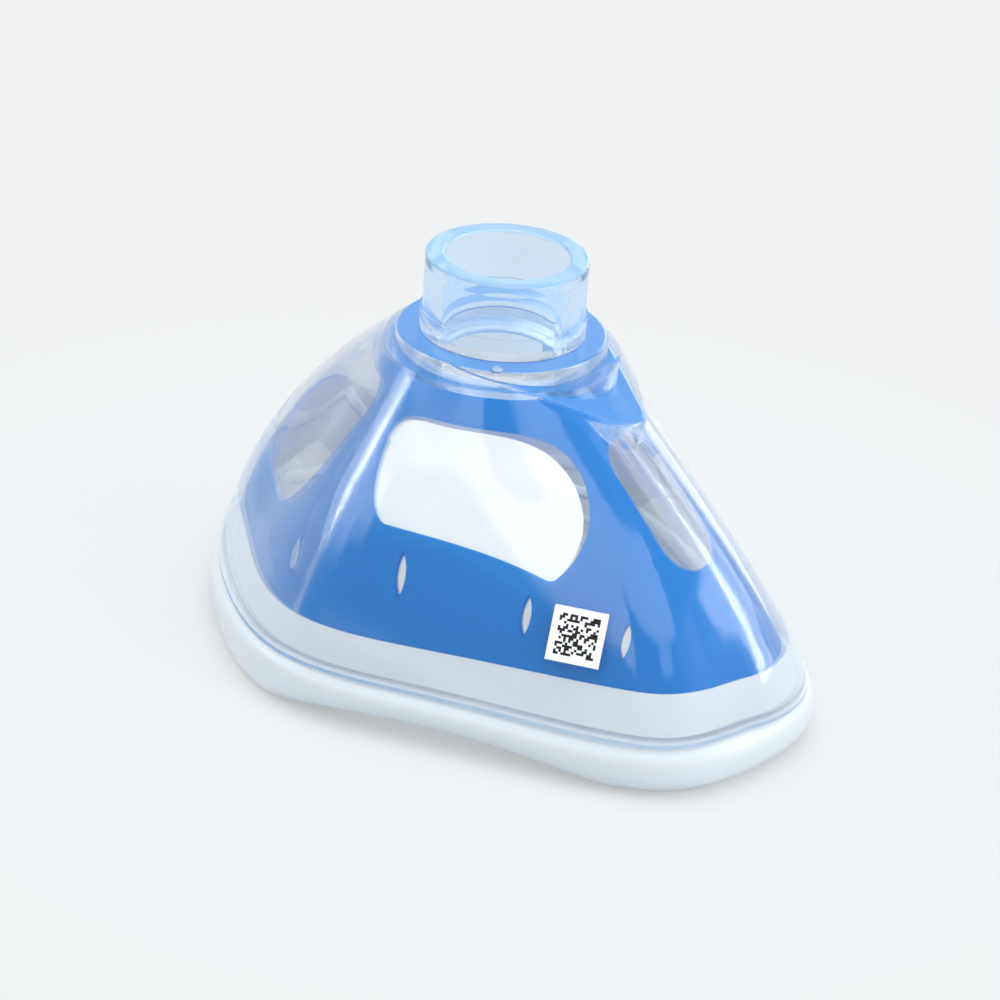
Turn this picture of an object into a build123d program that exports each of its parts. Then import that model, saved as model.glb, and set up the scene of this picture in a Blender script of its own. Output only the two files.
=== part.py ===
from build123d import *
from math import atan2, cos, hypot, pi, radians, sin, sqrt
import os

# An anesthesia face mask: a clear hollow dome with a 22 mm port, a blue liner inside it and a soft cushion.
# Millimetres, +X towards the nose, +Z up, the cushion standing on Z = 0, the two sides alike in Y.

# The shell's lower edge above the surface that the cushion stands on
EDGE_HEIGHT = 9.5

# Rises, each above the shell's lower edge
BLEND_RISE = 51.0            # where the dome's outline would have become the top circle
SHOULDER_RISE = 49.5         # the flat shoulder that carries the collar
LINER_EDGE_RISE = 6.9        # the blue liner's lower edge, at the port's axis
LINER_EDGE_TILT = 0.8        # degrees that this edge rises towards the nose

# The dome's lower edge seen from above, measured from the port's axis
NOSE_REACH = 68.3
CHIN_REACH = 57.8
HALF_WIDTH = 48.0
NOSE_CORNER = (64.2, 17.9)
NOSE_SIDE = (44.4, 30.5)
CHEEK_FRONT = (22.8, 39.5)
WIDEST_X = -4.0
CHEEK_BACK = (-27.4, 39.6)
CHIN_CORNER = (-47.6, 22.7)

# How full the dome is on its way up, in degrees from the nose: 1, the least, is a straight slope, 2 a round one
FULLNESS = ((0, 1.6), (29, 1.13), (86, 1.36), (137, 1.0), (180, 1.83))
TOP_RADIUS = 20.6
SECTIONS = 7
SECTION_POINTS = 36

# Walls and fits
SHELL_WALL = 1.8
LINER_WALL = 1.0
BOND_GAP = 0.05              # between the liner and the shell that it is bonded to
FLANGE_HEIGHT = 1.0
FLANGE_LIP = 0.2             # how far the flange stands out past the dome
FLANGE_WIDTH = 5.3           # how far it runs inwards

# The collar round the port
COLLAR_RISE = 2.9            # above the shoulder
COLLAR_TOP_RADIUS = 19.2
COLLAR_FOOT_RADIUS = 19.7
COLLAR_ROUND = 0.7

# The port
PORT_RADIUS = 14.85
PORT_RISE = 14.6             # of its rim above the collar
PORT_FOOT_RADIUS = 15.2
PORT_FOOT_RISE = 4.2         # of the thicker ring above the collar
BORE_RADIUS = 11.1           # the 22 mm conical connector's seat, drawn at its middle radius
MOUTH_RADIUS = 11.4
MOUTH_DEPTH = 3.3
RIM_ROUND = 0.4
LINER_HOLE_RADIUS = 12.3     # the liner's opening under the port

# Heights that follow from these
SHOULDER_HEIGHT = EDGE_HEIGHT + SHOULDER_RISE
COLLAR_HEIGHT = SHOULDER_HEIGHT + COLLAR_RISE
PORT_HEIGHT = COLLAR_HEIGHT + PORT_RISE
LINER_DEPTH = SHELL_WALL + BOND_GAP

# The tongue, a raised form that runs from the collar towards the nose
TONGUE_REACH = 34.0
TONGUE_TIP_RADIUS = 5.5
TONGUE_ROOT_RADIUS = 19.4
TONGUE_ROOT = 10.0           # where its sides leave the collar
TONGUE_DEPTH = 12.0          # how far the tongue's sides run down into the dome
TONGUE_START = 4.6           # where its top starts to lean down, in front of the port's axis
TONGUE_FALL = 12.2           # degrees that it leans
TONGUE_ROUND = 1.2

# The stub left by the mould's gate, on the collar
GATE_RADIUS = 1.1
GATE_PLACE = (12.1, -14.0)
GATE_RISE = 0.5              # above the collar

# The openings in the liner, heights above the shell's lower edge
CHEEK_WINDOW = ((34.6, 21.1), (36.4, 27.6), (32.6, 35.2), (21.6, 42.1), (9.1, 42.9), (0.5, 41.5), (-0.4, 35.5),
                (5.4, 25.4))                       # X and rise, round from its lower nose corner
CHEEK_WINDOW_FOOT = ((5.4, 25.4), (19.0, 24.4), (34.6, 21.1))
CHIN_WINDOW = ((0.0, 27.0), (6.0, 24.7), (12.4, 18.5), (19.4, 15.4), (29.2, 16.5), (30.0, 23.5), (26.8, 34.0),
               (24.0, 40.3), (20.4, 44.6))         # Y and rise, from the middle of its foot
CHIN_WINDOW_START = -6.0
NOSE_SLOT_START = 29.0
NOSE_SLOT_END = 51.3
NOSE_SLOT_WIDTH = 11.0
WINDOW_ROUND = 1.5
SLIT_WIDTH = 1.9
SLIT_LEAN = 15.0             # degrees, their feet towards the nose
SLITS = ((-9.8, 14.6, 6.0), (11.8, 18.2, 8.4), (33.2, 15.5, 7.4), (49.6, 14.5, 6.4))   # X, rise, length

# The cushion's roll
ROLL_OUT = 1.3               # how far it stands out past the dome's edge
ROLL_IN = 8.8
ROLL_FLAT = 0.95             # share of the full ellipse that is left between its flats
ROLL_LEVELS = (-1.0, -0.75, -0.4, 0.0, 0.4, 0.75, 1.0)
ARCH_START = -36.0           # its underside arches up between the chin and the nose
ARCH_END = 54.0
ARCH_RISE = 2.0

# The port's axis, placed so that the origin is the middle of the whole mask
PORT_X = (CHIN_REACH - NOSE_REACH) / 2

# The label
LABEL_SIZE = 9.8
LABEL_THICKNESS = 0.2
LABEL_PLACE = (43.1, -22.2, 14.7)                  # its height above the shell's lower edge
LABEL_ALONG = (0.875, 0.484, -0.02)
LABEL_OUT = (0.43, -0.755, 0.495)

FAR = 100.0                  # long enough to cut through the whole mask


def edge_curve():
    """The dome's lower edge, round from the nose, with the port's axis at the origin."""
    side = [NOSE_CORNER, NOSE_SIDE, CHEEK_FRONT, (WIDEST_X, HALF_WIDTH), CHEEK_BACK, CHIN_CORNER]
    other = [(x, -y) for x, y in reversed(side)]
    return Spline([(NOSE_REACH, 0), *side, (-CHIN_REACH, 0), *other], periodic=True)


def fullness(angle):
    """How full the dome is at an angle from the nose, blended smoothly between the stations."""
    turn = abs(angle) * 180 / pi
    for (a, low), (b, high) in zip(FULLNESS, FULLNESS[1:]):
        if turn <= b:
            blend = (1 - cos(pi * (turn - a) / (b - a))) / 2
            return low + (high - low) * blend
    return FULLNESS[-1][1]


EDGE = [(p.X, p.Y) for p in (edge_curve() @ (i / SECTION_POINTS) for i in range(SECTION_POINTS))]


def moved_out(points, distances):
    """The closed outline moved outwards in its own plane, by one distance for each point."""
    moved = []
    for i, (x, y) in enumerate(points):
        before = points[i - 1]
        after = points[(i + 1) % len(points)]
        along = (after[0] - before[0], after[1] - before[1])
        size = hypot(*along)
        out = (along[1] / size, -along[0] / size)
        moved.append((x + out[0] * distances[i], y + out[1] * distances[i]))
    return moved


def dome_outline(height, growth):
    """The dome's outline at a height, with its surface moved out by a growth."""
    rise = (height - EDGE_HEIGHT) / BLEND_RISE
    points = []
    distances = []
    for x, y in EDGE:
        angle = atan2(y, x)
        power = fullness(angle)
        spread = 1 - rise ** power
        top = (TOP_RADIUS * cos(angle), TOP_RADIUS * sin(angle))
        points.append((top[0] + (x - top[0]) * spread, top[1] + (y - top[1]) * spread))
        reach = hypot(x, y) - TOP_RADIUS
        slope = reach * power * rise ** (power - 1) / BLEND_RISE
        distances.append(growth * sqrt(1 + slope ** 2))
    return moved_out(points, distances)


def placed(points):
    """Points measured from the port's axis, in the part's own frame."""
    return [(x + PORT_X, y) for x, y in points]


def dome_solid(growth):
    """The dome as one closed solid with its surface moved out by a growth, or in where that is less than 0."""
    top = SHOULDER_HEIGHT + min(growth, 0)
    with BuildPart() as dome:
        for i in range(SECTIONS):
            height = EDGE_HEIGHT + (top - EDGE_HEIGHT) * i / (SECTIONS - 1)
            with BuildSketch(Plane.XY.offset(height)):
                with BuildLine():
                    Spline(placed(dome_outline(height, growth)), periodic=True)
                make_face()
        loft()
    return dome.part


def edge_prism(growth, low, high):
    """An upright prism on the dome's lower edge, grown outwards."""
    with BuildPart() as prism:
        with BuildSketch(Plane.XY.offset(low)):
            with BuildLine():
                Spline(placed(moved_out(EDGE, [growth] * len(EDGE))), periodic=True)
            make_face()
        extrude(amount=high - low)
    return prism.part


def port_disc(radius, low, high):
    """A cylinder on the port's axis."""
    with BuildPart() as disc:
        with BuildSketch(Plane.XY.offset(low)):
            with Locations((PORT_X, 0)):
                Circle(radius)
        extrude(amount=high - low)
    return disc.part


def collar_solid():
    """The round-edged collar on the dome's shoulder."""
    with BuildPart() as collar:
        with BuildSketch(Plane.XY.offset(SHOULDER_HEIGHT)):
            with Locations((PORT_X, 0)):
                Circle(COLLAR_FOOT_RADIUS)
        with BuildSketch(Plane.XY.offset(COLLAR_HEIGHT)):
            with Locations((PORT_X, 0)):
                Circle(COLLAR_TOP_RADIUS)
        loft()
        fillet(collar.edges().filter_by(GeomType.CIRCLE).group_by(Axis.Z)[-1], COLLAR_ROUND)
    return collar.part


def tongue_solid():
    """The raised tongue: a teardrop on the port's axis under a plane that leans down to the nose."""
    with BuildPart() as tongue:
        with BuildSketch(Plane.XY.offset(COLLAR_HEIGHT - TONGUE_DEPTH)):
            with Locations((PORT_X, 0)):
                Circle(TONGUE_ROOT_RADIUS)
            with Locations((PORT_X + TONGUE_REACH - TONGUE_TIP_RADIUS, 0)):
                Circle(TONGUE_TIP_RADIUS)
            make_hull()
        extrude(amount=TONGUE_DEPTH)
        fall = radians(TONGUE_FALL)
        lean = Plane((PORT_X + TONGUE_START, 0, COLLAR_HEIGHT), z_dir=(sin(fall), 0, cos(fall)))
        split(bisect_by=lean, keep=Keep.BOTTOM)
        slope = tongue.faces().filter_by(lean).sort_by(Axis.X)[-1]
        start = PORT_X + TONGUE_START
        fillet(slope.edges().filter_by_position(Axis.X, start + 1, start + FAR), TONGUE_ROUND)
        split(bisect_by=Plane.YZ.offset(PORT_X + TONGUE_ROOT), keep=Keep.TOP)
    return tongue.part


def cheek_windows():
    """A prism across the mask for the two large windows, one on each cheek."""
    with BuildPart() as cut:
        with BuildSketch(Plane.XZ) as outline:
            with BuildLine():
                Spline([(x + PORT_X, rise + EDGE_HEIGHT) for x, rise in CHEEK_WINDOW])
                ThreePointArc(*[(x + PORT_X, rise + EDGE_HEIGHT) for x, rise in CHEEK_WINDOW_FOOT])
            make_face()
            fillet(outline.vertices(), WINDOW_ROUND)
        extrude(amount=FAR, both=True)
    return cut.part


def chin_window():
    """A prism from the port towards the chin for the window that runs round the chin."""
    side = [(y, rise + EDGE_HEIGHT) for y, rise in CHIN_WINDOW]
    other = [(-y, z) for y, z in side[1:]]
    with BuildPart() as cut:
        with BuildSketch(Plane.YZ.offset(PORT_X + CHIN_WINDOW_START)) as outline:
            with BuildLine():
                foot = Spline([*reversed(side), *other])
                Line(foot @ 0, foot @ 1)
            make_face()
            fillet(outline.vertices(), WINDOW_ROUND)
        extrude(amount=-FAR)
    return cut.part


def nose_slot():
    """An upright prism for the slot on the nose ridge."""
    length = NOSE_SLOT_END - NOSE_SLOT_START
    with BuildPart() as cut:
        with BuildSketch(Plane.XY):
            with Locations((PORT_X + NOSE_SLOT_START + length / 2, 0)):
                SlotOverall(length, NOSE_SLOT_WIDTH)
        extrude(amount=FAR)
    return cut.part


def slits():
    """Prisms across the mask for the lens-shaped openings low on each side."""
    lean = radians(SLIT_LEAN)
    with BuildPart() as cut:
        with BuildSketch(Plane.XZ):
            for x, rise, length in SLITS:
                middle = (x + PORT_X, rise + EDGE_HEIGHT)
                along = (sin(lean) * length / 2, -cos(lean) * length / 2)
                across = (cos(lean) * SLIT_WIDTH / 2, sin(lean) * SLIT_WIDTH / 2)
                foot = (middle[0] + along[0], middle[1] + along[1])
                head = (middle[0] - along[0], middle[1] - along[1])
                with BuildLine():
                    ThreePointArc(foot, (middle[0] + across[0], middle[1] + across[1]), head)
                    ThreePointArc(head, (middle[0] - across[0], middle[1] - across[1]), foot)
                make_face()
        extrude(amount=FAR, both=True)
    return cut.part


def gate_stub():
    """The stub of the mould's gate."""
    with BuildPart() as stub:
        with BuildSketch(Plane.XY.offset(SHOULDER_HEIGHT)):
            with Locations((PORT_X + GATE_PLACE[0], GATE_PLACE[1])):
                Circle(GATE_RADIUS)
        extrude(amount=COLLAR_RISE + GATE_RISE)
    return stub.part


def roll_side(side):
    """The cushion's outer (1) or inner (-1) side as a closed solid, following the dome's edge."""
    half = EDGE_HEIGHT / 2
    with BuildPart() as solid:
        for share in ROLL_LEVELS:
            height = half + half * share
            swell = sqrt(1 - (share * ROLL_FLAT) ** 2)
            distance = (ROLL_OUT - ROLL_IN) / 2 + side * (ROLL_OUT + ROLL_IN) / 2 * swell
            with BuildSketch(Plane.XY.offset(height)):
                with BuildLine():
                    Spline(placed(moved_out(EDGE, [distance] * len(EDGE))), periodic=True)
                make_face()
        loft()
    return solid.part


# The clear shell: the dome, its flange, the collar, the tongue and the port in one moulding
with BuildPart() as shell:
    add(dome_solid(0))
    add(collar_solid())
    add(tongue_solid())
    add(gate_stub())
    add(port_disc(PORT_FOOT_RADIUS, SHOULDER_HEIGHT, COLLAR_HEIGHT + PORT_FOOT_RISE))
    add(port_disc(PORT_RADIUS, SHOULDER_HEIGHT, PORT_HEIGHT))
    add(dome_solid(-SHELL_WALL), mode=Mode.SUBTRACT)
    add(edge_prism(FLANGE_LIP, EDGE_HEIGHT, EDGE_HEIGHT + FLANGE_HEIGHT))
    add(edge_prism(-FLANGE_WIDTH, EDGE_HEIGHT, EDGE_HEIGHT + FLANGE_HEIGHT), mode=Mode.SUBTRACT)
    add(port_disc(BORE_RADIUS, SHOULDER_HEIGHT - 2 * SHELL_WALL, PORT_HEIGHT), mode=Mode.SUBTRACT)
    with BuildSketch(Plane.XY.offset(PORT_HEIGHT)):
        with Locations((PORT_X, 0)):
            Circle(MOUTH_RADIUS)
    with BuildSketch(Plane.XY.offset(PORT_HEIGHT - MOUTH_DEPTH)):
        with Locations((PORT_X, 0)):
            Circle(BORE_RADIUS)
    loft(mode=Mode.SUBTRACT)
    rim = shell.edges().filter_by(GeomType.CIRCLE).group_by(Axis.Z)[-1]
    fillet(rim, RIM_ROUND)

# The blue liner: a layer bonded inside the shell, with windows, a slot and slits that show the clear shell alone
with BuildPart() as liner:
    add(dome_solid(-LINER_DEPTH))
    add(dome_solid(-LINER_DEPTH - LINER_WALL), mode=Mode.SUBTRACT)
    add(port_disc(LINER_HOLE_RADIUS, SHOULDER_HEIGHT - FAR, PORT_HEIGHT), mode=Mode.SUBTRACT)
    tilt = radians(LINER_EDGE_TILT)
    edge = Plane((PORT_X, 0, EDGE_HEIGHT + LINER_EDGE_RISE), z_dir=(-sin(tilt), 0, cos(tilt)))
    split(bisect_by=edge, keep=Keep.TOP)
    for opening in (cheek_windows, chin_window, nose_slot, slits):
        add(opening(), mode=Mode.SUBTRACT)

# The soft cushion: one roll under the shell's edge, flat above and below and arched under the cheeks
with BuildPart() as cushion:
    add(roll_side(1))
    add(roll_side(-1), mode=Mode.SUBTRACT)
    with BuildSketch(Plane.XZ):
        with BuildLine():
            arch = ThreePointArc((PORT_X + ARCH_START, 0), (PORT_X + (ARCH_START + ARCH_END) / 2, ARCH_RISE),
                                 (PORT_X + ARCH_END, 0))
            Line(arch @ 0, arch @ 1)
        make_face()
    extrude(amount=FAR, both=True, mode=Mode.SUBTRACT)

# The label, stuck on the shell and curved with it
with BuildPart() as label:
    middle = (LABEL_PLACE[0] + PORT_X, LABEL_PLACE[1], LABEL_PLACE[2] + EDGE_HEIGHT)
    with BuildSketch(Plane(middle, x_dir=LABEL_ALONG, z_dir=LABEL_OUT)):
        Rectangle(LABEL_SIZE, LABEL_SIZE)
    extrude(amount=LABEL_SIZE / 2, both=True)
    add(dome_solid(LABEL_THICKNESS), mode=Mode.INTERSECT)
    add(dome_solid(0), mode=Mode.SUBTRACT)
    add(shell.part, mode=Mode.SUBTRACT)

shell.part.label = "clear_shell"
liner.part.label = "blue_liner"
cushion.part.label = "face_cushion"
label.part.label = "data_label"

os.makedirs("parts", exist_ok=True)
export_step(shell.part, "parts/clear_shell.step")
export_step(liner.part, "parts/blue_liner.step")
export_step(cushion.part, "parts/face_cushion.step")
export_step(label.part, "parts/data_label.step")
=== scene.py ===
# %% [markdown]
# A face mask for anesthesia, dressed around its CAD model.
# It is built as a clear hard shell with a port on top, a blue windowed layer inside it,
# a soft milky cushion round its open edge and a small printed label on one cheek.
# The CAD model gives the shell, the layer and the label their exact shapes, so they only get finishes here.
# The cushion is modelled again, because a soft roll has no flats and no hard edges.

# %% Load the frame
import math

import bpy
import numpy as np
from mathutils import Matrix, Vector


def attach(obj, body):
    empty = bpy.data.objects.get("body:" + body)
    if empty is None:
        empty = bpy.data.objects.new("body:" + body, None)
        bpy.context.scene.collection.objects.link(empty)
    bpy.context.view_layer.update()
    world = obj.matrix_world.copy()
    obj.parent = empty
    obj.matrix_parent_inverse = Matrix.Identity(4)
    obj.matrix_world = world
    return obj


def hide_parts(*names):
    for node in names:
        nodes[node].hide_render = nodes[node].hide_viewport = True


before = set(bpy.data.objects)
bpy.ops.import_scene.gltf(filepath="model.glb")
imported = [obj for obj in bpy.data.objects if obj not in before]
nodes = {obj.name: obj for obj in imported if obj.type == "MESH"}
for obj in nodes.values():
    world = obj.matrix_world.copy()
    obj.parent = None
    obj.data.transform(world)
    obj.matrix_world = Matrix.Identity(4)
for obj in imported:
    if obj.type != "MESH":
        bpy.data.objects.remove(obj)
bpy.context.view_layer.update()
MM = 0.001

# %% [markdown]
# The camera comes first, because every later choice is judged through it.
# A product photographer stands well back with a long lens, so the port keeps its shape.
# The place, the lens and a small roll were worked out from the port's rim and the shell's edge,
# and are written as three turns and one point, which is easier to read than a matrix.

# %% Set the camera
SENSOR_WIDTH = 36.0
LENS = 129.96
EYE = Vector((396.5, -446.1, 325.7)) * MM
TURN = math.radians(41.82)
HEIGHT_ANGLE = math.radians(26.44)
ROLL = math.radians(4.37)


def camera_matrix():
    """The camera's place and turn, from how far round it stands, how high it looks from and its roll."""
    right = Vector((math.cos(TURN), math.sin(TURN), 0))
    back = Vector((math.sin(TURN) * math.cos(HEIGHT_ANGLE), -math.cos(TURN) * math.cos(HEIGHT_ANGLE),
                   math.sin(HEIGHT_ANGLE)))
    up = back.cross(right)
    rolled_right = right * math.cos(ROLL) + up * math.sin(ROLL)
    rolled_up = up * math.cos(ROLL) - right * math.sin(ROLL)
    turned = Matrix((rolled_right, rolled_up, back)).transposed().to_4x4()
    return Matrix.Translation(EYE) @ turned


camera_data = bpy.data.cameras.new("product_camera")
camera_data.sensor_width = SENSOR_WIDTH
camera_data.lens = LENS
camera_data.clip_start = 0.01
camera = bpy.data.objects.new("product_camera", camera_data)
bpy.context.scene.collection.objects.link(camera)
camera.matrix_world = camera_matrix()
bpy.context.scene.camera = camera

# %% [markdown]
# Every finish is a few shader nodes. These helpers keep the cells below short.
# One starts a material, one adds a node with its settings, and one reads a place on the piece
# in metres, so that a finish can change from one region of the mask to another.

# %% Helpers for materials


def new_finish(name):
    """An empty material with an output node."""
    finish = bpy.data.materials.new(name)
    finish.use_nodes = True
    tree = finish.node_tree
    tree.nodes.clear()
    output = tree.nodes.new("ShaderNodeOutputMaterial")
    return finish, tree, output


def add_node(tree, kind, inputs=None, **settings):
    """A node with its settings and the values or links of its inputs."""
    node = tree.nodes.new(kind)
    for key, value in settings.items():
        setattr(node, key, value)
    for key, value in (inputs or {}).items():
        if isinstance(value, bpy.types.NodeSocket):
            tree.links.new(value, node.inputs[key])
        else:
            node.inputs[key].default_value = value
    return node


def place_on(tree):
    """The X, Y and Z of the place on the piece, in metres."""
    coordinates = add_node(tree, "ShaderNodeTexCoord")
    split = add_node(tree, "ShaderNodeSeparateXYZ", {0: coordinates.outputs["Object"]})
    return coordinates.outputs["Object"], split.outputs


def ramp_between(tree, value, low, high, low_result=0.0, high_result=1.0):
    """A smooth change from one result to another while a value goes from low to high."""
    node = add_node(tree, "ShaderNodeMapRange",
                    {"Value": value, "From Min": low, "From Max": high,
                     "To Min": low_result, "To Max": high_result}, interpolation_type="SMOOTHSTEP")
    return node.outputs["Result"]


def maths(tree, operation, first, second=0.0):
    """One sum on two values or links."""
    return add_node(tree, "ShaderNodeMath", {0: first, 1: second}, operation=operation).outputs[0]


def mixed(tree, share, first, second):
    """A mix of two shaders, which at a share of 1 is all second."""
    return add_node(tree, "ShaderNodeMixShader", {0: share, 1: first, 2: second}).outputs[0]


def give(piece, finish):
    """The piece gets this finish alone."""
    piece.data.materials.clear()
    piece.data.materials.append(finish)


# %% [markdown]
# The blue layer is tinted plastic, bonded under the clear shell.
# Some light passes through it, so the hollow inside glows blue rather than turning dark.
# It is a little deeper in colour low down. Its inner side and the ring under the port are painted pale,
# which stands in for the light that reaches them.

# %% Blue layer
BLUE = (0.0, 0.225, 0.600, 1)
DEEP_BLUE = (0.0, 0.200, 0.560, 1)
# The next two colours are painted light: pale where light reaches the inner side and the ring under the
# port.
INNER_PAINTED_LIGHT = (0.90, 0.94, 0.98, 1)
UNDER_PORT_PAINTED_LIGHT = (0.62, 0.78, 0.93, 1)
PASSED_BLUE = (0.14, 0.52, 0.95, 1)
INSIDE_MASK = (-0.005, 0, 0.012)
PORT_X = -5.25 * MM
PORT_FOOT = 15.2 * MM
FOOT_BLEND = 0.4 * MM
SHOULDER_UNDER = 55.0 * MM
PASSED_SHARE = 0.30
CLOUDS_PER_METRE = 26.0
PLAIN_ABOVE = 0.052
CLOUDED_BELOW = 0.018


def blue_finish():
    """Tinted plastic, deeper low down, with painted light on its inner side and under the port."""
    finish, tree, output = new_finish("tinted_blue_plastic")
    place, axes = place_on(tree)
    cloud = add_node(tree, "ShaderNodeTexNoise", {"Vector": place, "Scale": CLOUDS_PER_METRE, "Detail": 2.0})
    low_down = ramp_between(tree, axes[2], PLAIN_ABOVE, CLOUDED_BELOW)
    amount = maths(tree, "MULTIPLY", cloud.outputs["Fac"], low_down)
    outer = add_node(tree, "ShaderNodeMix", {"Factor": amount, 6: BLUE, 7: DEEP_BLUE}, data_type="RGBA")
    outwards = add_node(tree, "ShaderNodeVectorMath", {0: place, 1: INSIDE_MASK}, operation="SUBTRACT")
    facing = add_node(tree, "ShaderNodeNewGeometry").outputs["True Normal"]
    across = add_node(tree, "ShaderNodeVectorMath", {0: outwards.outputs[0], 1: facing},
                      operation="DOT_PRODUCT")
    inside = maths(tree, "LESS_THAN", across.outputs["Value"], 0.0)
    sided = add_node(tree, "ShaderNodeMix", {"Factor": inside, 6: outer.outputs[2], 7: INNER_PAINTED_LIGHT},
                     data_type="RGBA")
    from_port = maths(tree, "SUBTRACT", axes[0], PORT_X)
    along_squared = maths(tree, "POWER", maths(tree, "ABSOLUTE", from_port), 2.0)
    across_squared = maths(tree, "POWER", maths(tree, "ABSOLUTE", axes[1]), 2.0)
    reach = maths(tree, "SQRT", maths(tree, "ADD", along_squared, across_squared))
    under_port = maths(tree, "MULTIPLY", ramp_between(tree, reach, PORT_FOOT, PORT_FOOT - FOOT_BLEND),
                       maths(tree, "GREATER_THAN", axes[2], SHOULDER_UNDER))
    colour = add_node(tree, "ShaderNodeMix", {"Factor": under_port, 6: sided.outputs[2], 7: UNDER_PORT_PAINTED_LIGHT},
                      data_type="RGBA")
    surface = add_node(tree, "ShaderNodeBsdfPrincipled",
                       {"Base Color": colour.outputs[2], "Roughness": 0.5, "Specular IOR Level": 0.0})
    through = add_node(tree, "ShaderNodeBsdfTranslucent", {"Color": PASSED_BLUE})
    shader = mixed(tree, PASSED_SHARE, surface.outputs[0], through.outputs[0])
    tree.links.new(shader, output.inputs["Surface"])
    return finish


give(nodes["blue_liner"], blue_finish())

# %% [markdown]
# The shell is one clear hard plastic, but it gets its finish in four steps, from the dome up to the port.
# The dome is a thin wall: bending alone draws dark lines along its edges, and a plain film looks like foil,
# so it is a mix of both. The film's mirror is capped, so that it doesn't hide the blue at a slant.

# %% Dome
PLASTIC_TINT = (0.965, 0.985, 1, 1)
DOME_GLOSS = 0.015
DOME_IOR = 1.40
FILM_IOR = 1.5
MOST_MIRROR = 0.12
THIN_SHARE = 0.45


def thin_dome(tree, front, deep):
    """The dome's wall, which bends light in part and is a plain film in part."""
    mirror = add_node(tree, "ShaderNodeBsdfGlossy", {"Color": (1, 1, 1, 1), "Roughness": DOME_GLOSS})
    clear = add_node(tree, "ShaderNodeBsdfTransparent", {"Color": PLASTIC_TINT})
    fresnel = add_node(tree, "ShaderNodeFresnel", {"IOR": FILM_IOR})
    share = maths(tree, "MULTIPLY", maths(tree, "MINIMUM", fresnel.outputs[0], MOST_MIRROR), front)
    film = mixed(tree, share, clear.outputs[0], mirror.outputs[0])
    bending = add_node(tree, "ShaderNodeBsdfPrincipled",
                       {"Base Color": PLASTIC_TINT, "Roughness": DOME_GLOSS, "IOR": DOME_IOR,
                        "Transmission Weight": 1.0})
    return mixed(tree, maths(tree, "MAXIMUM", deep, THIN_SHARE), bending.outputs[0], film)


# %% [markdown]
# Below the blue layer, the dome's inner face is painted with a pale haze. It could be a piece of its own,
# but a share that follows the height needs no mesh, and the outer face keeps its mirror over it.
# A thin blue line runs along the upright rim at the dome's foot, stronger at the chin than at the nose.

# %% Hazy band and blue line
EDGE_HEIGHT = 9.5 * MM
BLUE_EDGE = 16.4 * MM
BLUE_EDGE_SLOPE = math.tan(math.radians(0.8))
BAND_HAZE = 0.90
BELOW_MASK = (-0.005, 0, -0.020)
LINE_WIDTH = 0.9 * MM
LINE_START, LINE_END = -0.045, 0.045
LINE_AT_CHIN, LINE_AT_NOSE = 0.95, 0.45
UPRIGHT = 0.5


def haze_share(tree, place, axes, side):
    """How much haze a place has: some on the inner face below the blue layer's edge, elsewhere none."""
    outwards = add_node(tree, "ShaderNodeVectorMath", {0: place, 1: BELOW_MASK}, operation="SUBTRACT")
    across = add_node(tree, "ShaderNodeVectorMath",
                      {0: outwards.outputs[0], 1: side.outputs["True Normal"]}, operation="DOT_PRODUCT")
    inwards = maths(tree, "LESS_THAN", across.outputs["Value"], 0.0)
    inner = maths(tree, "ABSOLUTE", maths(tree, "SUBTRACT", inwards, side.outputs["Backfacing"]))
    edge = maths(tree, "ADD", maths(tree, "MULTIPLY", axes[0], BLUE_EDGE_SLOPE), BLUE_EDGE)
    below = maths(tree, "MULTIPLY", maths(tree, "LESS_THAN", axes[2], edge), inner)
    return maths(tree, "MULTIPLY", below, BAND_HAZE)


def line_share(tree, axes, side, front):
    """How much of the blue line a place has: it is on faces that stand upright, just above the edge."""
    near_edge = ramp_between(tree, axes[2], EDGE_HEIGHT + LINE_WIDTH, EDGE_HEIGHT + LINE_WIDTH / 2)
    facing = add_node(tree, "ShaderNodeSeparateXYZ", {0: side.outputs["Normal"]}).outputs
    sideways = maths(tree, "LESS_THAN", maths(tree, "ABSOLUTE", facing[2]), UPRIGHT)
    fading = ramp_between(tree, axes[0], LINE_START, LINE_END, LINE_AT_CHIN, LINE_AT_NOSE)
    return maths(tree, "MULTIPLY", maths(tree, "MULTIPLY", near_edge, fading),
                 maths(tree, "MULTIPLY", sideways, front))


# %% [markdown]
# The flat tops of the collar and of the tongue are painted blue inside their clear rounded lips,
# because they look blue from above and the blue layer ends below them.
# The collar's top is level and the tongue's falls away from it, so a place counts as on top
# if it is near either of these two planes.

# %% Blue tops
COLLAR_HEIGHT = 61.9 * MM
SLOPE_START = PORT_X + 4.6 * MM
SLOPE_FALL = math.tan(math.radians(12.2))
TOP_SHARE = 0.85
TOP_NEAR, TOP_FAR = 0.1 * MM, 0.25 * MM


def top_share(tree, axes, front):
    """How much blue paint a place has: it is on the collar's level top and the tongue's sloping one."""
    down_slope = maths(tree, "MAXIMUM", maths(tree, "SUBTRACT", axes[0], SLOPE_START), 0.0)
    fall = maths(tree, "MULTIPLY", down_slope, SLOPE_FALL)
    off_flat = maths(tree, "SUBTRACT", axes[2], COLLAR_HEIGHT)
    off_top = maths(tree, "MINIMUM", maths(tree, "ABSOLUTE", off_flat),
                    maths(tree, "ABSOLUTE", maths(tree, "ADD", off_flat, fall)))
    on_top = maths(tree, "MULTIPLY", ramp_between(tree, off_top, TOP_FAR, TOP_NEAR), front)
    return maths(tree, "MULTIPLY", on_top, TOP_SHARE)
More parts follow.
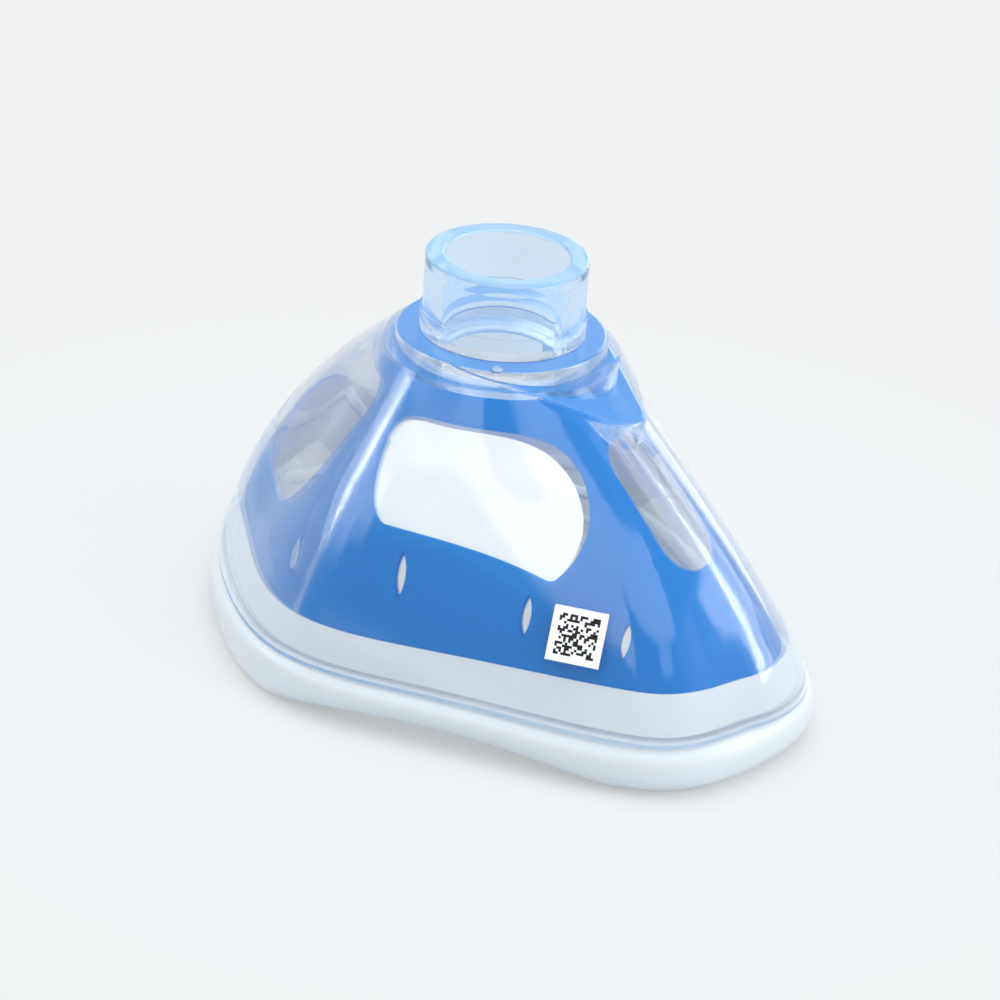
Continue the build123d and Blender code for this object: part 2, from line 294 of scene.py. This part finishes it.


# %% [markdown]
# The port is a thick tube, so it bends all the light that passes it. A little milk keeps it from vanishing
# against the pale table. More milk at the rim is a painted highlight, the bright edge of the glassy tube,
# and shows where it ends.

# %% Port
PORT_HEIGHT = 76.5 * MM
PORT_TINT = (0.90, 0.96, 1, 1)
PORT_IOR = 1.46
PORT_MILK_AND_RIM_HIGHLIGHT = (0.32, 0.58, 0.85, 1)
WALL_MILK = 0.16
# The rim's larger milk share is a painted highlight on the clear port's edge.
RIM_PAINTED_HIGHLIGHT = 0.60
RIM_DEPTH, RIM_FULL = 0.5 * MM, 0.2 * MM


def thick_port(tree, axes, deep):
    """The port's wall, a little milky, and milkier at its rim as a painted highlight."""
    thick = add_node(tree, "ShaderNodeBsdfPrincipled",
                     {"Base Color": PORT_TINT, "Roughness": 0.02, "IOR": PORT_IOR,
                      "Transmission Weight": 1.0})
    pale = add_node(tree, "ShaderNodeBsdfTransparent", {"Color": (0.93, 0.97, 1, 1)})
    milk = add_node(tree, "ShaderNodeBsdfPrincipled", {"Base Color": PORT_MILK_AND_RIM_HIGHLIGHT, "Roughness": 0.15})
    milk_and_rim_highlight = ramp_between(tree, axes[2], PORT_HEIGHT - RIM_DEPTH, PORT_HEIGHT - RIM_FULL,
                             WALL_MILK, RIM_PAINTED_HIGHLIGHT)
    milky = mixed(tree, milk_and_rim_highlight, thick.outputs[0], milk.outputs[0])
    return mixed(tree, deep, milky, pale.outputs[0])


# %% [markdown]
# Now the four steps are laid over each other, each with its own share.
# Light that has passed several clear walls takes a plain see-through shader from there on, because it
# would turn dark before it came out. Shadows see the whole shell as faintly tinted film.

# %% Clear shell
HAZE = (0.66, 0.71, 0.76, 1)
LINE_BLUE = (0.13, 0.34, 0.60, 1)
TOP_BLUE = (0.05, 0.24, 0.62, 1)
SHADOW_TINT = (0.93, 0.965, 0.99, 1)
ABOVE_COLLAR = 0.6 * MM
DEEPEST = 3


def clear_finish():
    """Clear hard plastic: a thin dome, a hazy band, a line at its foot, blue tops and a thick port."""
    finish, tree, output = new_finish("clear_hard_plastic")
    place, axes = place_on(tree)
    path = add_node(tree, "ShaderNodeLightPath")
    side = add_node(tree, "ShaderNodeNewGeometry")
    front = maths(tree, "SUBTRACT", 1.0, side.outputs["Backfacing"])
    deep = maths(tree, "GREATER_THAN", path.outputs["Transmission Depth"], DEEPEST)
    haze = add_node(tree, "ShaderNodeBsdfPrincipled", {"Base Color": HAZE, "Roughness": 0.3})
    line = add_node(tree, "ShaderNodeBsdfPrincipled", {"Base Color": LINE_BLUE, "Roughness": 0.2})
    top = add_node(tree, "ShaderNodeBsdfPrincipled", {"Base Color": TOP_BLUE, "Roughness": 0.06})
    passing = add_node(tree, "ShaderNodeBsdfTransparent", {"Color": SHADOW_TINT})
    shader = thin_dome(tree, front, deep)
    shader = mixed(tree, haze_share(tree, place, axes, side), shader, haze.outputs[0])
    shader = mixed(tree, line_share(tree, axes, side, front), shader, line.outputs[0])
    shader = mixed(tree, top_share(tree, axes, front), shader, top.outputs[0])
    on_port = maths(tree, "GREATER_THAN", axes[2], COLLAR_HEIGHT + ABOVE_COLLAR)
    shader = mixed(tree, on_port, shader, thick_port(tree, axes, deep))
    shader = mixed(tree, path.outputs["Is Shadow Ray"], shader, passing.outputs[0])
    tree.links.new(shader, output.inputs["Surface"])
    return finish


give(nodes["clear_shell"], clear_finish())

# %% [markdown]
# The label is a white sticker with a small square of black print.
# Its print is generic: black and white squares that follow a seeded noise and say nothing.
# Measured along the label's own directions, they stay level with its edges.

# %% Label
LABEL_MIDDLE = Vector((37.85, -22.2, 24.2)) * MM
LABEL_ALONG = Vector((0.875, 0.484, -0.02)).normalized()
LABEL_OUT = Vector((0.43, -0.755, 0.495)).normalized()
LABEL_UP = LABEL_OUT.cross(LABEL_ALONG).normalized()
SQUARE = 0.46 * MM
SQUARES_ACROSS = 16
SQUARES_SEED = 7.0
PAPER_WHITE = (0.90, 0.91, 0.93, 1)
PRINT_BLACK = (0.008, 0.008, 0.010, 1)


def along_label(tree, place, direction):
    """How far a place lies from the label's middle in a direction, counted in printed squares."""
    moved = add_node(tree, "ShaderNodeVectorMath", {0: place, 1: tuple(LABEL_MIDDLE)}, operation="SUBTRACT")
    along = add_node(tree, "ShaderNodeVectorMath", {0: moved.outputs[0], 1: tuple(direction)},
                     operation="DOT_PRODUCT")
    return maths(tree, "DIVIDE", along.outputs["Value"], SQUARE)


def label_finish():
    """A white sticker with black squares that follow a seeded noise."""
    finish, tree, output = new_finish("printed_label")
    place = place_on(tree)[0]
    columns = along_label(tree, place, LABEL_ALONG)
    rows = along_label(tree, place, LABEL_UP)
    square = add_node(tree, "ShaderNodeCombineXYZ",
                      {0: maths(tree, "FLOOR", columns), 1: maths(tree, "FLOOR", rows), 2: SQUARES_SEED})
    noise = add_node(tree, "ShaderNodeTexWhiteNoise", {"Vector": square.outputs[0]}, noise_dimensions="3D")
    dark = maths(tree, "GREATER_THAN", noise.outputs["Value"], 0.5)
    inside = maths(tree, "MULTIPLY",
                   maths(tree, "LESS_THAN", maths(tree, "ABSOLUTE", columns), SQUARES_ACROSS / 2),
                   maths(tree, "LESS_THAN", maths(tree, "ABSOLUTE", rows), SQUARES_ACROSS / 2))
    amount = maths(tree, "MULTIPLY", dark, inside)
    colour = add_node(tree, "ShaderNodeMix",
                      {"Factor": amount, 6: PAPER_WHITE, 7: PRINT_BLACK}, data_type="RGBA")
    shader = add_node(tree, "ShaderNodeBsdfPrincipled",
                      {"Base Color": colour.outputs[2], "Roughness": 0.45, "Specular IOR Level": 0.2})
    tree.links.new(shader.outputs[0], output.inputs["Surface"])
    return finish


give(nodes["data_label"], label_finish())

# %% [markdown]
# The cushion is a soft milky roll under the shell's edge, which gives way on a face.
# It could be swept along a curve, but a ring primitive is quicker: a torus already has the right
# topology, and each of its cross sections is moved to its place round the edge.
# The edge is the same smooth closed spline as the shell's, through a few points of one side.

# %% The line that the cushion follows
EDGE_SIDE = [(68.3, 0), (64.2, 17.9), (44.4, 30.5), (22.8, 39.5), (-4.0, 48.0), (-27.4, 39.6),
             (-47.6, 22.7), (-57.8, 0)]
ROUND = 240
ACROSS = 48


def closed_spline(points):
    """The smooth closed curve through points, as its corners' slopes and the lengths between them."""
    points = np.array(points, float)
    count = len(points)
    spans = np.linalg.norm(np.roll(points, -1, 0) - points, axis=1)
    system = np.zeros((count, count))
    right_side = np.zeros((count, 2))
    for i in range(count):
        before, here = spans[i - 1], spans[i]
        system[i, i - 1] = here
        system[i, i] = 2 * (before + here)
        system[i, (i + 1) % count] = before
        right_side[i] = 3 * (here * (points[i] - points[i - 1]) / before
                             + before * (points[(i + 1) % count] - points[i]) / here)
    return points, np.linalg.solve(system, right_side), spans


def along_spline(curve, share):
    """The point and the outward direction at a share of the way round."""
    points, slopes, spans = curve
    way = share % 1.0 * spans.sum()
    i = 0
    while way > spans[i]:
        way -= spans[i]
        i += 1
    t = way / spans[i]
    after = (i + 1) % len(points)
    a, b, m, n = points[i], points[after], slopes[i] * spans[i], slopes[after] * spans[i]
    place = (a * (2 * t**3 - 3 * t**2 + 1) + m * (t**3 - 2 * t**2 + t)
             + b * (3 * t**2 - 2 * t**3) + n * (t**3 - t**2))
    slope = (a * (6 * t**2 - 6 * t) + m * (3 * t**2 - 4 * t + 1)
             + b * (6 * t - 6 * t**2) + n * (3 * t**2 - 2 * t))
    slope /= np.linalg.norm(slope)
    return place, np.array((slope[1], -slope[0]))


edge_line = closed_spline(EDGE_SIDE + [(x, -y) for x, y in reversed(EDGE_SIDE[1:-1])])
print("edge length", round(edge_line[2].sum(), 1), "mm by its chords")

# %% [markdown]
# A ring primitive is added and each vertex is placed by two shares: how far round the mask it is,
# and how far round the roll. The roll is a rounded square rather than a circle, as a soft tube under
# a load is. It is squarer where the mask is widest, and its underside lifts off the table under the cheeks.
# One applied subdivision then smooths it.

# %% Cushion
ROLL_OUT = 1.6
ROLL_IN = 8.8
ARCH_START, ARCH_END, ARCH_RISE = -6.0, 54.0, 2.9
SQUARENESS = 2.35
FULLER = 2.6
FULLEST_X, FULL_LENGTH = -13.0, 13.0


def underside(x):
    """How high the roll's underside is at a place along the mask, in millimetres."""
    if not ARCH_START < x < ARCH_END:
        return 0.0
    share = (x - ARCH_START) / (ARCH_END - ARCH_START)
    return ARCH_RISE * 4 * share * (1 - share)


def rounded_square(turn, squareness):
    """A point on a rounded square of half width 1."""
    c, s = math.cos(turn), math.sin(turn)
    reach = (abs(c) ** squareness + abs(s) ** squareness) ** (-1 / squareness)
    return c * reach, s * reach


def cushion_vertex(ring, step):
    """The place of one vertex of the roll, which is fuller where the mask is widest."""
    (x, y), (out_x, out_y) = edge_places[ring]
    squareness = SQUARENESS + FULLER * math.exp(-((x - FULLEST_X) / FULL_LENGTH) ** 2)
    across, up = rounded_square(2 * math.pi * step / ACROSS, squareness)
    low = underside(x)
    top = EDGE_HEIGHT / MM
    out = (ROLL_OUT - ROLL_IN) / 2 + across * (ROLL_OUT + ROLL_IN) / 2
    height = (low + top) / 2 + up * (top - low) / 2
    return Vector((x + out_x * out + PORT_X / MM, y + out_y * out, height)) * MM


edge_places = [along_spline(edge_line, ring / ROUND) for ring in range(ROUND)]
bpy.ops.object.select_all(action="DESELECT")
bpy.ops.mesh.primitive_torus_add(major_segments=ROUND, minor_segments=ACROSS, major_radius=0.05,
                                 minor_radius=0.005)
cushion = bpy.context.object
cushion.name = "soft_cushion"
for index, vertex in enumerate(cushion.data.vertices):
    vertex.co = cushion_vertex(index // ACROSS, index % ACROSS)
bpy.ops.object.mode_set(mode="EDIT")
bpy.ops.mesh.select_all(action="SELECT")
bpy.ops.mesh.normals_make_consistent(inside=False)
bpy.ops.object.mode_set(mode="OBJECT")
bpy.ops.object.shade_smooth()
smoother = cushion.modifiers.new("smoother", "SUBSURF")
smoother.levels = 1
smoother.render_levels = 1
bpy.ops.object.modifier_apply(modifier=smoother.name)
print("cushion", len(cushion.data.polygons), "faces")

# %% [markdown]
# The cushion is milky right through and softly glossy. Light scattering under its surface could draw that.
# The simpler way is used here: a plain pale surface, whose gloss is slightly uneven.

# %% Cushion finish


def cushion_finish():
    """Soft milky plastic with a faintly uneven gloss."""
    finish, tree, output = new_finish("milky_soft_plastic")
    place = place_on(tree)[0]
    cloud = add_node(tree, "ShaderNodeTexNoise", {"Vector": place, "Scale": 60.0, "Detail": 3.0})
    gloss = ramp_between(tree, cloud.outputs["Fac"], 0.3, 0.7, 0.30, 0.40)
    milk = add_node(tree, "ShaderNodeBsdfPrincipled",
                    {"Base Color": (0.64, 0.69, 0.73, 1), "Roughness": gloss, "IOR": 1.42})
    tree.links.new(milk.outputs[0], output.inputs["Surface"])
    return finish


give(cushion, cushion_finish())
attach(cushion, "root")
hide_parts("face_cushion")

# %% [markdown]
# The two large cheek windows look nearly white, probably because the clear shell over them mirrors
# a pale room. Here a thin white pane in each paints in that reflection, in the middle of the blue layer's
# wall.
# It stands for no separate piece of the real mask.
# A flat grid is drawn out to the window's outline, and each of its points is then dropped on the shell
# from the side and moved in by the depth of the wall. A mirror makes the second pane.

# %% Cheek window panes of painted reflection
WINDOW = [(34.6, 30.6), (36.4, 37.1), (32.6, 44.7), (21.6, 51.6), (9.1, 52.4), (0.5, 51.0), (-0.4, 45.0),
          (5.4, 34.9), (19.0, 33.9)]
PANE_DEPTH = 2.3 * MM
PANE_MARGIN = 0.4
PANE_STEPS = 24
# This white is a painted reflection of the pale room, not a colour of the mask.
PANE_REFLECTION_WHITE = (0.91, 0.91, 0.90, 1)
BESIDE_MASK = -0.1


def window_point(u, v):
    """The place in the window, seen from the side, of a point of the square from -1 to 1."""
    across, up = u * math.sqrt(1 - v * v / 2), v * math.sqrt(1 - u * u / 2)
    (x, z), out = along_spline(window_line, math.atan2(up, across) / (2 * math.pi))
    x, z = x + out[0] * PANE_MARGIN, z + out[1] * PANE_MARGIN
    reach = math.hypot(across, up)
    return middle[0] + (x - middle[0]) * reach, middle[1] + (z - middle[1]) * reach


window_line = closed_spline(WINDOW)
middle = np.mean(WINDOW, 0)
bpy.ops.object.select_all(action="DESELECT")
bpy.ops.mesh.primitive_grid_add(x_subdivisions=PANE_STEPS, y_subdivisions=PANE_STEPS, size=2)
pane = bpy.context.object
pane.name = "cheek_reflection_panes"
for vertex in pane.data.vertices:
    x, z = window_point(vertex.co.x, vertex.co.y)
    start = Vector((x * MM + PORT_X, BESIDE_MASK, z * MM))
    _, on_shell, normal, _ = nodes["clear_shell"].ray_cast(start, (0, 1, 0))
    vertex.co = on_shell - normal * PANE_DEPTH
bpy.ops.object.shade_smooth()
mirrored = pane.modifiers.new("both_cheeks", "MIRROR")
mirrored.use_axis = (False, True, False)
print("pane", [round(v, 4) for v in pane.bound_box[0]], [round(v, 4) for v in pane.bound_box[6]])


def reflection_pane_finish():
    """A painted reflection: nearly opaque white, with a little unevenness in how much shows through."""
    finish, tree, output = new_finish("painted_reflection_pane")
    place = place_on(tree)[0]
    cloud = add_node(tree, "ShaderNodeTexNoise", {"Vector": place, "Scale": 45.0, "Detail": 2.0})
    white = add_node(tree, "ShaderNodeBsdfPrincipled", {"Base Color": PANE_REFLECTION_WHITE, "Roughness": 0.35})
    behind = add_node(tree, "ShaderNodeBsdfTransparent")
    amount = ramp_between(tree, cloud.outputs["Fac"], 0.3, 0.7, 0.90, 0.96)
    shader = mixed(tree, amount, behind.outputs[0], white.outputs[0])
    tree.links.new(shader, output.inputs["Surface"])
    return finish


give(pane, reflection_pane_finish())
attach(pane, "root")

# %% [markdown]
# The set is a plain pale table under soft studio light.
# The table fades to an even pale tone away from the mask, as a lit paper sweep does,
# and keeps the mask's shadow near it.

# %% Table
TABLE_SIZE = 6.0
TABLE_DROP = 0.0001
NEAR_GLOW = 0.45
NEAR_TONE, FAR_TONE = (0.87, 0.885, 0.89, 1), (0.87, 0.87, 0.87, 1)
TONE_START, TONE_END = 0.12, 0.55
GLOW_START, GLOW_END = 0.06, 0.17


def table_finish():
    """Pale paper that keeps the shadow near the mask and is an even tone away from it."""
    finish, tree, output = new_finish("pale_table")
    place = place_on(tree)[0]
    distance = add_node(tree, "ShaderNodeVectorMath", {0: place}, operation="LENGTH").outputs["Value"]
    paper = add_node(tree, "ShaderNodeBsdfDiffuse", {"Color": (0.66, 0.69, 0.71, 1)})
    further = ramp_between(tree, distance, TONE_START, TONE_END)
    tone = add_node(tree, "ShaderNodeMix", {"Factor": further, 6: NEAR_TONE, 7: FAR_TONE},
                    data_type="RGBA")
    glow = add_node(tree, "ShaderNodeEmission", {"Color": tone.outputs[2], "Strength": 1.0})
    away = ramp_between(tree, distance, GLOW_START, GLOW_END, NEAR_GLOW, 1.0)
    path = add_node(tree, "ShaderNodeLightPath")
    seen = maths(tree, "MAXIMUM", path.outputs["Is Camera Ray"],
                 maths(tree, "MAXIMUM", path.outputs["Is Glossy Ray"], path.outputs["Is Transmission Ray"]))
    amount = maths(tree, "MULTIPLY", away, seen)
    shader = mixed(tree, amount, paper.outputs[0], glow.outputs[0])
    tree.links.new(shader, output.inputs["Surface"])
    return finish


bpy.ops.object.select_all(action="DESELECT")
bpy.ops.mesh.primitive_plane_add(size=TABLE_SIZE, location=(0, 0, -TABLE_DROP))
table = bpy.context.object
table.name = "table"
give(table, table_finish())

# %% [markdown]
# Three soft lamps light the mask: a large one above and smaller ones on the left and on the right.
# The right lamp is kept out of mirrors, because its streak would run down the nose ridge.

# %% Light


def soft_light(name, place, target, width, height, power):
    """A rectangular studio lamp that faces a target."""
    data = bpy.data.lights.new(name, "AREA")
    data.shape = "RECTANGLE"
    data.size = width
    data.size_y = height
    data.energy = power
    lamp = bpy.data.objects.new(name, data)
    bpy.context.scene.collection.objects.link(lamp)
    lamp.location = place
    lamp.rotation_euler = (Vector(target) - Vector(place)).to_track_quat("-Z", "Y").to_euler()
    return lamp


soft_light("top_light", place=(-0.1, 0.1, 0.9), target=(0, 0, 0.03), width=0.9, height=0.9, power=3.2)
soft_light("left_light", place=(-0.7, -0.5, 0.5), target=(0, 0, 0.03), width=0.3, height=0.6, power=1.5)
right_light = soft_light("right_light", place=(0.7, 0.25, 0.35), target=(0.02, 0, 0.02),
                         width=0.4, height=0.5, power=2.0)
right_light.visible_glossy = False

# %% [markdown]
# What the clear shell mirrors makes most of its look: large sharp-edged pale shapes on dark blue.
# The camera, clear pieces and mirrors all see the same pale backdrop. In front of it, mirrored rays also
# see the studio cards. Each is a patch of directions: where it is, from and to which turn, from and to which
# height and how soft its edges are, all in degrees, and how bright it is.
# Everything else is lit by an even pale room.

# %% Room with studio cards
CARDS = [
    ("behind on the right", 30, 60, 8, 40, 1.2, 4.5),
    ("above it", 38, 68, 40, 59, 1.2, 3.2),
    ("beside it", 60, 70, 15, 40, 1.5, 3.2),
    ("behind", 88, 126, -6, 30, 3.0, 2.2),
    ("high in front", -62, -4, 43, 58, 1.5, 2.5),
    ("high on the left", -82, -62, 32, 51, 1.5, 2.6),
    ("streak in front", -31, -16, 36, 43, 1.5, 1.6),
    ("low strip far left", -150, -116, 17, 27, 3.0, 3.0),
    ("end of that strip", -116, -104, 22, 28, 3.0, 3.5),
    ("thin strip on the left", -135, -82, 31, 37, 2.0, 1.9),
    ("foot on the left", -112, -78, 3, 10, 3.0, 0.7),
    ("far behind", 126, 175, 14, 50, 3.0, 0.2),
]
BACKDROP = 0.87


def card_light(tree, turn, height):
    """How bright the mirrored room is in a direction, from its turn and height in degrees."""
    total = BACKDROP
    for _, start, end, low, high, softness, strength in CARDS:
        inside = [ramp_between(tree, turn, start - softness, start + softness),
                  ramp_between(tree, turn, end + softness, end - softness),
                  ramp_between(tree, height, low - softness, low + softness),
                  ramp_between(tree, height, high + softness, high - softness)]
        patch = strength
        for edge in inside:
            patch = maths(tree, "MULTIPLY", edge, patch)
        total = maths(tree, "ADD", patch, total)
    return total


world = bpy.data.worlds.new("studio")
bpy.context.scene.world = world
world.use_nodes = True
tree = world.node_tree
tree.nodes.clear()
coordinates = add_node(tree, "ShaderNodeTexCoord")
x, y, z = add_node(tree, "ShaderNodeSeparateXYZ", {0: coordinates.outputs["Generated"]}).outputs
turn = maths(tree, "MULTIPLY", maths(tree, "ARCTAN2", y, x), 180 / math.pi)
height = maths(tree, "MULTIPLY", maths(tree, "ARCSINE", z), 180 / math.pi)
room = add_node(tree, "ShaderNodeBackground", {"Color": (0.98, 0.99, 1, 1), "Strength": 0.95})
mirrored_room = add_node(tree, "ShaderNodeBackground",
                         {"Color": (1, 1, 1, 1), "Strength": card_light(tree, turn, height)})
backdrop = add_node(tree, "ShaderNodeBackground", {"Color": (1, 1, 1, 1), "Strength": BACKDROP})
path = add_node(tree, "ShaderNodeLightPath")
lit = mixed(tree, path.outputs["Is Glossy Ray"], room.outputs[0], mirrored_room.outputs[0])
shown = maths(tree, "MAXIMUM", path.outputs["Is Camera Ray"], path.outputs["Is Transmission Ray"])
add_node(tree, "ShaderNodeOutputWorld", {0: mixed(tree, shown, lit, backdrop.outputs[0])})

bpy.context.scene.view_settings.view_transform = "Standard"
